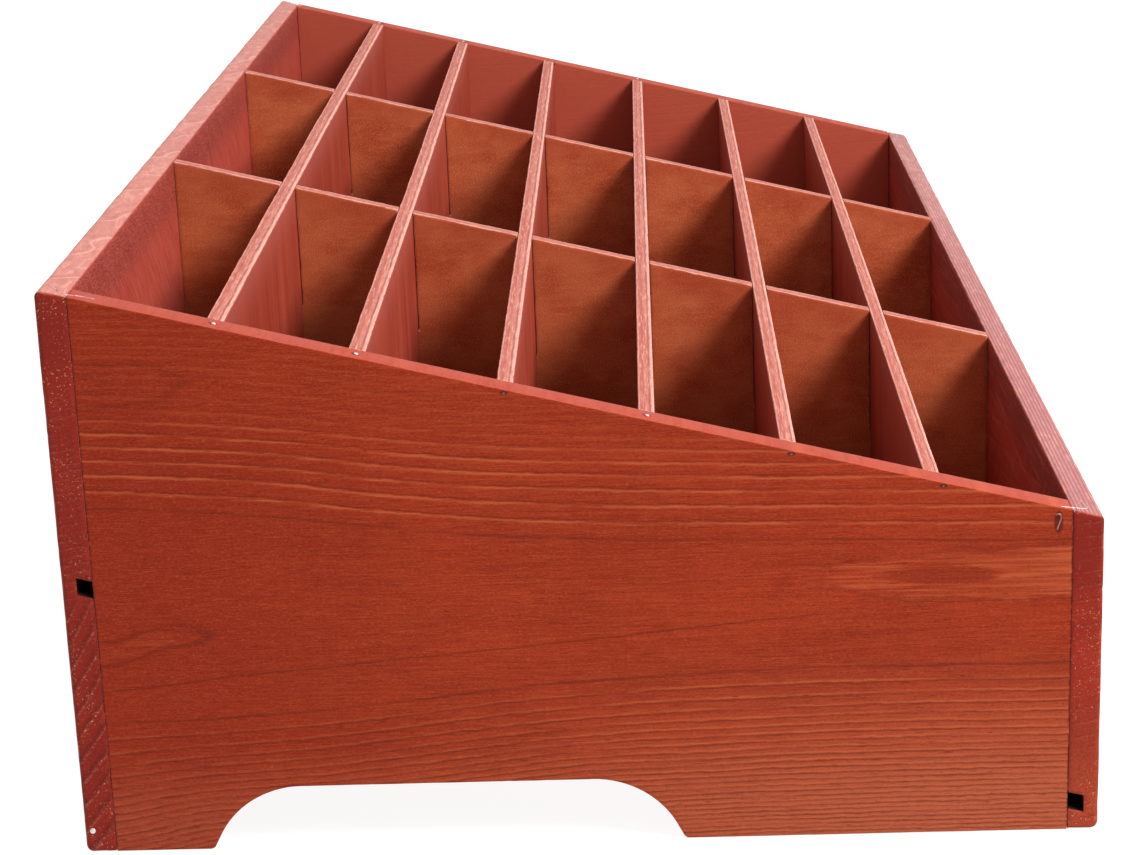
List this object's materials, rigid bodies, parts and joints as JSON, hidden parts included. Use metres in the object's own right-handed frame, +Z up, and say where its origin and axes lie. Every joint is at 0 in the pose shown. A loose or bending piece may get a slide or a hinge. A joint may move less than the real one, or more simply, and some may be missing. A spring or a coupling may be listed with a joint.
{
  "type": "umbrella stand",
  "caption": "Open-topped wooden box with a rim sloping down to one end, an egg-crate grid of upright slots on a sloping bottom board, and an arched cut-out in each side panel.",
  "frame": {"origin": "on the floor, at the middle of the footprint", "axes": "+X from the tall end to the short end, +Y from the front side panel to the back one, +Z up"},
  "size_m": [0.4, 0.74, 0.231],
  "materials": {
    "end_board_wood": "red-brown stain on solid softwood, satin",
    "side_panel_wood": "red-brown stain on solid softwood, satin, grain along the panel",
    "bottom_plywood": "red-brown stain on plywood, matt",
    "cross_divider_plywood": "red-brown stain on plywood, satin, upright face grain",
    "long_divider_plywood": "red-brown stain on plywood, satin",
    "nail_strip": "thin bent steel strip, flush with the rim",
    "bright_brad": "bright steel brad",
    "dark_brad": "dull, tarnished steel brad"
  },
  "bodies": {
    "root": {"tall_end_board": "end_board_wood", "short_end_board": "end_board_wood", "front_side_panel": "side_panel_wood", "back_side_panel": "side_panel_wood", "sloping_bottom": "bottom_plywood", "cross_divider_1": "cross_divider_plywood", "cross_divider_2": "cross_divider_plywood", "cross_divider_3": "cross_divider_plywood", "cross_divider_4": "cross_divider_plywood", "cross_divider_5": "cross_divider_plywood", "cross_divider_6": "cross_divider_plywood", "long_divider_front": "long_divider_plywood", "long_divider_back": "long_divider_plywood", "corner_nails": "nail_strip", "front_divider_brads": "bright_brad", "back_divider_brads": "bright_brad", "bent_brad": "dark_brad", "foot_brad": "bright_brad"}
  },
  "joints": []
}
